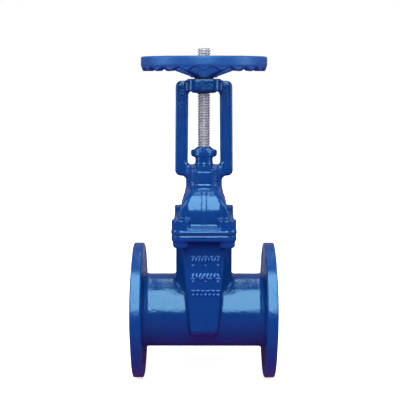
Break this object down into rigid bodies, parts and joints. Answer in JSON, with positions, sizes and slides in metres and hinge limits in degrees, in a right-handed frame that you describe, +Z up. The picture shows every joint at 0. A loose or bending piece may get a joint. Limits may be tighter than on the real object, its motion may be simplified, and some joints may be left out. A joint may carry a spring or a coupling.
{
  "type": "rising stem gate valve",
  "caption": "Flanged resilient-seated gate valve with an outside screw and yoke, a rising threaded stem and a lobed handwheel, all castings coated blue.",
  "frame": {"origin": "centre of the inlet flange's raised face, on the pipe's axis", "axes": "+X along the pipe from the inlet to the outlet, +Z up the stem, +Y to the back"},
  "size_m": [0.229, 0.215, 0.5218],
  "materials": {
    "blue_coating": "glossy fusion-bonded epoxy over ductile iron",
    "wheel_coating": "satin blue coating over cast iron",
    "black_rubber": "matt EPDM rubber",
    "wedge_rubber": "smooth vulcanised rubber over an iron core",
    "guide_plastic": "matt polyamide",
    "brass": "machined brass",
    "stainless_steel": "turned stainless steel",
    "plated_steel": "zinc-plated steel"
  },
  "bodies": {
    "valve_body": {"body_casting": "blue_coating", "bonnet_gasket": "black_rubber", "bonnet": "blue_coating", "yoke": "blue_coating", "gland_follower": "blue_coating", "gland_packing": "black_rubber", "grease_nipple": "plated_steel", "nut_retainer": "brass"},
    "rising_stem": {"stem": "stainless_steel", "gate_wedge": "wedge_rubber", "guide_shoes": "guide_plastic", "wedge_nut": "brass"},
    "turning_wheel": {"stem_nut": "brass", "handwheel": "wheel_coating", "wheel_washer": "plated_steel", "wheel_locknut": "plated_steel"}
  },
  "joints": [
    {"name": "wheel_turn", "type": "hinge", "parent": "valve_body", "child": "turning_wheel", "pos_m": [0.1145, 0, 0.385], "axis": [0, 0, 1], "range_deg": [0, 9180]},
    {"name": "stem_rise", "type": "slide", "parent": "valve_body", "child": "rising_stem", "axis": [0, 0, 1], "range_m": [0, 0.102]}
  ],
  "couplings": [
    {"joint": "stem_rise", "follows": "wheel_turn", "m_per_rad": 0.00063662}
  ]
}
